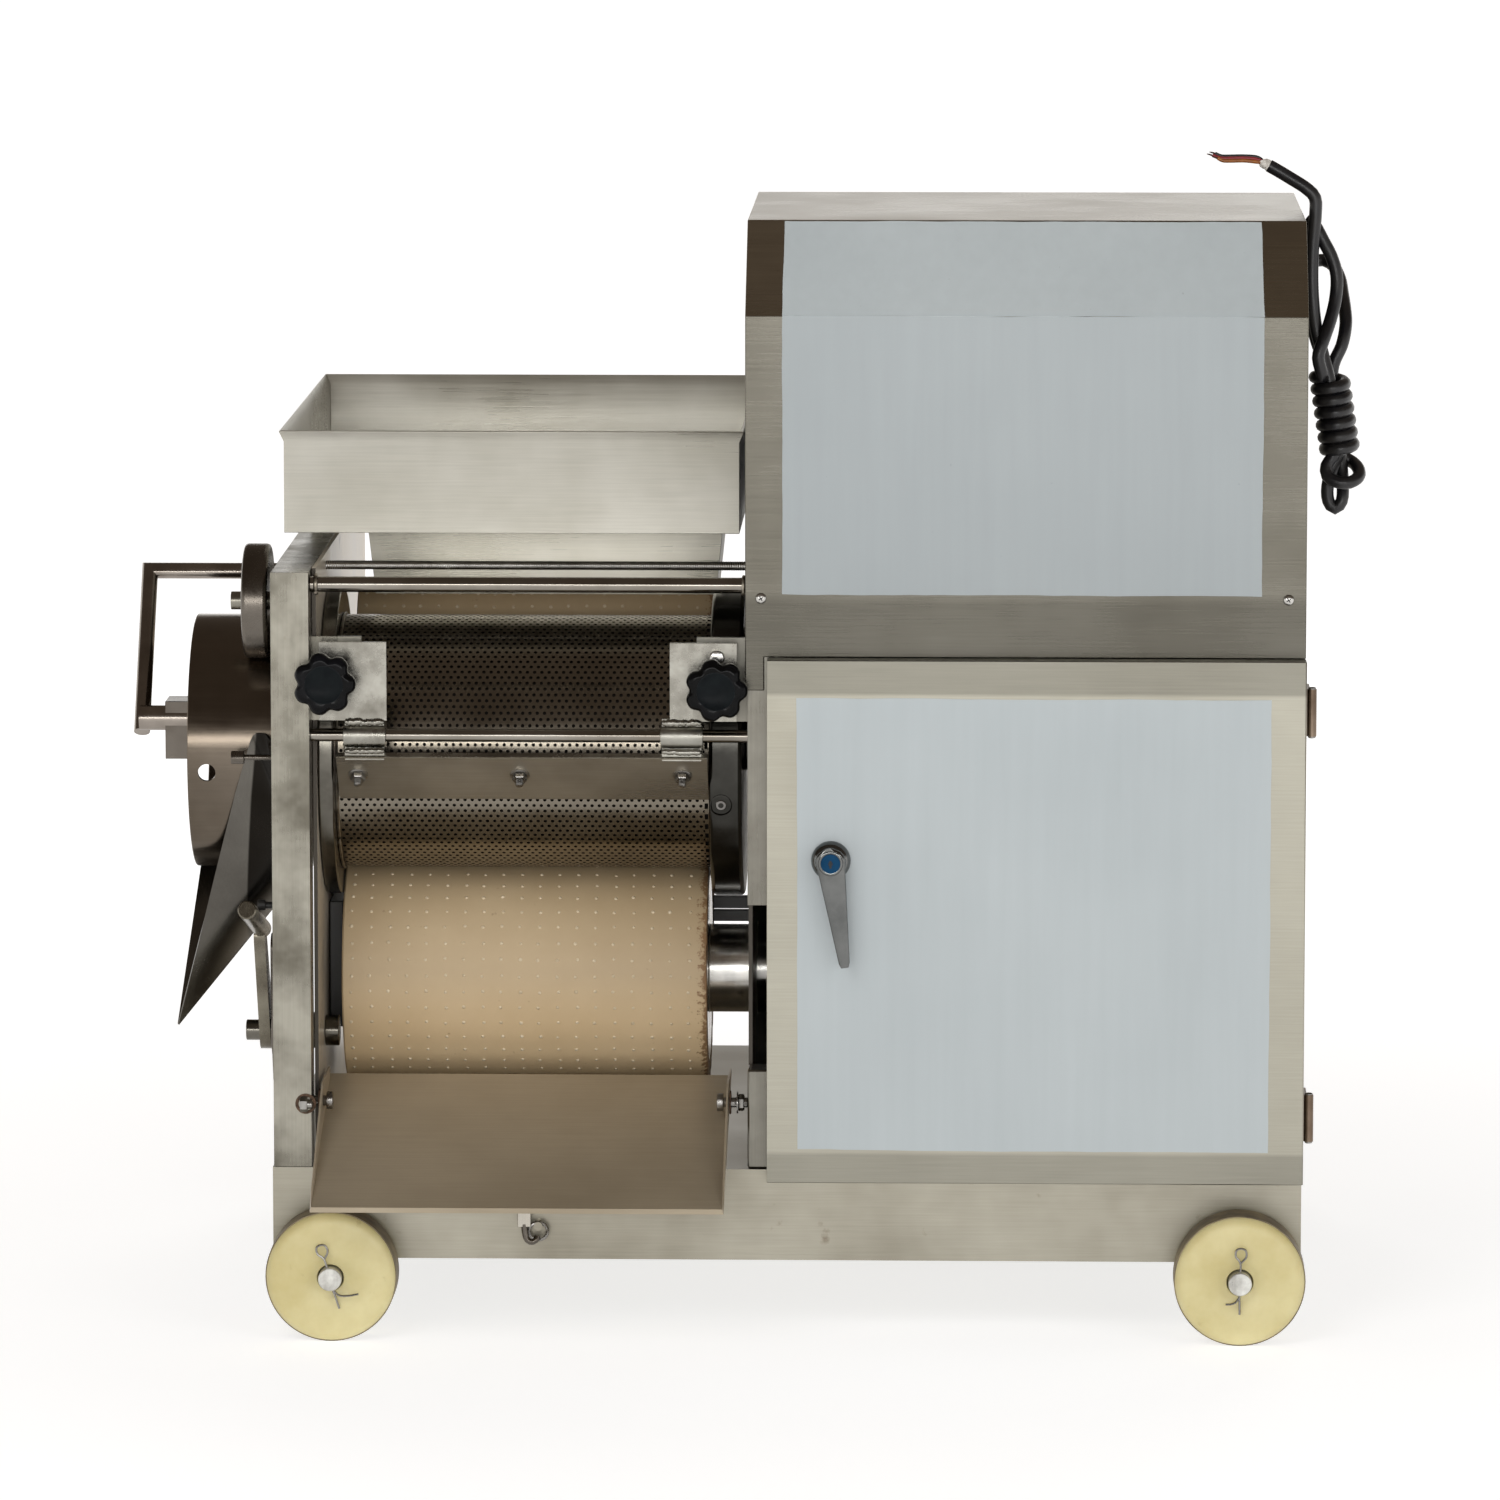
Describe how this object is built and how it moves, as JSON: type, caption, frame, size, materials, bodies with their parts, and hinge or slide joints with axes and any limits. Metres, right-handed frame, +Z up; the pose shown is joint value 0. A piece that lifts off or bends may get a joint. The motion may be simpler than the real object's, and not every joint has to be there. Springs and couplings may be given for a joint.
{
  "type": "belt and drum pulp separator",
  "caption": "Belt-and-drum separator on wheels: a rubber belt presses fruit, fish or meat against a turning perforated drum, which lets pulp through and keeps skins and bones out.",
  "frame": {"origin": "centre of the machine's bounding box on the floor, cable left out", "axes": "+X from the drum's open end to the gear cabinet, +Y from the bone tray side to the back, +Z up"},
  "size_m": [0.9523, 0.7346, 0.8859],
  "materials": {
    "steel": "brushed stainless sheet and tube",
    "polished": "turned and polished stainless",
    "dark_steel": "dark, oily steel",
    "gear_steel": "machined steel",
    "nylon": "cream cast nylon",
    "belt": "tan food-grade rubber",
    "black": "black moulded plastic",
    "rubber": "black cable jacket",
    "motor": "blue-grey enamel"
  },
  "bodies": {
    "frame": {"base_pan": "steel", "left_post_front": "steel", "left_rear_frame": "steel", "left_side_plate": "steel", "right_side_plate": "steel", "right_post_lower": "steel", "right_post_upper": "steel", "tray_bolt_left": "steel", "tray_bolt_right": "steel", "hopper": "steel", "cabinet_panel": "steel", "hood": "steel", "door_hinge_upper": "steel", "door_hinge_lower": "steel", "axle_left": "polished", "axle_right": "polished", "tie_rod": "polished", "inner_auger": "polished", "auger_clamp": "polished", "scraper_rod": "polished", "pulp_chute": "polished", "threaded_rod": "dark_steel", "auger_arm": "dark_steel", "lever_quadrant": "dark_steel", "chute_bolt_upper": "dark_steel", "drum_bearing": "gear_steel", "rubber_belt": "belt", "roller_bearing_block": "black", "chute_bolt_lower": "black", "cable_gland": "black", "cable_lead": "rubber", "cable_hank": "rubber", "cable_tail": "rubber", "gear_reducer": "motor", "drive_motor": "motor"},
    "drum": {"drum_shell": "polished", "drum_flange_left": "polished", "drum_flange_right": "polished", "drum_gear": "gear_steel"},
    "drive_roller_group": {"drive_roller": "gear_steel", "drive_roller_gear": "gear_steel"},
    "pinion": {"motor_pinion": "gear_steel"},
    "support_roller_group": {"support_roller": "dark_steel"},
    "upper_roller_group": {"upper_roller": "gear_steel"},
    "scraper": {"scraper_carrier": "steel", "scraper_blade": "belt"},
    "left_knob": {"knob_left": "black"},
    "right_knob": {"knob_right": "black"},
    "tray": {"bone_tray": "steel", "tray_prop": "polished"},
    "lever": {"pressure_lever": "steel", "lever_shaft": "polished"},
    "door": {"cabinet_door": "steel", "lock_escutcheon": "polished"},
    "handle": {"door_handle": "polished", "latch_cam": "gear_steel"},
    "wheel_front_left_group": {"wheel_front_left": "nylon"},
    "wheel_front_right_group": {"wheel_front_right": "nylon"},
    "wheel_rear_left_group": {"wheel_rear_left": "nylon"},
    "wheel_rear_right_group": {"wheel_rear_right": "nylon"}
  },
  "joints": [
    {"name": "drum_spin", "type": "hinge", "parent": "frame", "child": "drum", "pos_m": [-0.2085, -0.1057, 0.437], "axis": [1, 0, 0], "continuous": true},
    {"name": "drive_roller_spin", "type": "hinge", "parent": "frame", "child": "drive_roller_group", "pos_m": [-0.1385, -0.06661, 0.25311], "axis": [1, 0, 0], "continuous": true},
    {"name": "pinion_spin", "type": "hinge", "parent": "frame", "child": "pinion", "pos_m": [0.0655, -0.03163, 0.55106], "axis": [1, 0, 0], "continuous": true},
    {"name": "support_roller_spin", "type": "hinge", "parent": "frame", "child": "support_roller_group", "pos_m": [-0.3525, -0.18486, 0.55525], "axis": [1, 0, 0], "continuous": true},
    {"name": "upper_roller_spin", "type": "hinge", "parent": "frame", "child": "upper_roller_group", "pos_m": [-0.1385, 0.0693, 0.495], "axis": [1, 0, 0], "continuous": true},
    {"name": "scraper_tilt", "type": "hinge", "parent": "frame", "child": "scraper", "pos_m": [-0.1485, -0.2407, 0.459], "axis": [-1, 0, 0], "range_deg": [0, 8]},
    {"name": "knob_left_turn", "type": "hinge", "parent": "frame", "child": "left_knob", "pos_m": [-0.2955, -0.2557, 0.502], "axis": [0, 1, 0], "range_deg": [0, 720]},
    {"name": "knob_right_turn", "type": "hinge", "parent": "frame", "child": "right_knob", "pos_m": [0.0015, -0.2557, 0.498], "axis": [0, 1, 0], "range_deg": [0, 720]},
    {"name": "bone_tray_tilt", "type": "hinge", "parent": "frame", "child": "tray", "pos_m": [-0.1485, -0.2407, 0.1765], "axis": [-1, 0, 0], "range_deg": [0, 38]},
    {"name": "pressure_lever_swing", "type": "hinge", "parent": "frame", "child": "lever", "pos_m": [-0.3485, -0.1557, 0.217], "axis": [1, 0, 0], "range_deg": [0, 30]},
    {"name": "door_swing", "type": "hinge", "parent": "frame", "child": "door", "pos_m": [0.4523, -0.2657, 0.32], "axis": [0, 0, 1], "range_deg": [0, 110]},
    {"name": "door_handle_turn", "type": "hinge", "parent": "door", "child": "handle", "pos_m": [0.0887, -0.2757, 0.369], "axis": [0, -1, 0], "range_deg": [0, 90]},
    {"name": "wheel_front_left_spin", "type": "hinge", "parent": "frame", "child": "wheel_front_left_group", "pos_m": [-0.2915, -0.2807, 0.05], "axis": [0, 1, 0], "continuous": true},
    {"name": "wheel_front_right_spin", "type": "hinge", "parent": "frame", "child": "wheel_front_right_group", "pos_m": [0.4, -0.2807, 0.05], "axis": [0, 1, 0], "continuous": true},
    {"name": "wheel_rear_left_spin", "type": "hinge", "parent": "frame", "child": "wheel_rear_left_group", "pos_m": [-0.2915, 0.3393, 0.05], "axis": [0, 1, 0], "continuous": true},
    {"name": "wheel_rear_right_spin", "type": "hinge", "parent": "frame", "child": "wheel_rear_right_group", "pos_m": [0.4, 0.3393, 0.05], "axis": [0, 1, 0], "continuous": true}
  ],
  "couplings": [
    {"joint": "drive_roller_spin", "follows": "drum_spin", "ratio": -1.0435},
    {"joint": "pinion_spin", "follows": "drum_spin", "ratio": -2.4},
    {"joint": "support_roller_spin", "follows": "drum_spin", "ratio": -2.2273},
    {"joint": "upper_roller_spin", "follows": "drum_spin", "ratio": -2.1261}
  ]
}
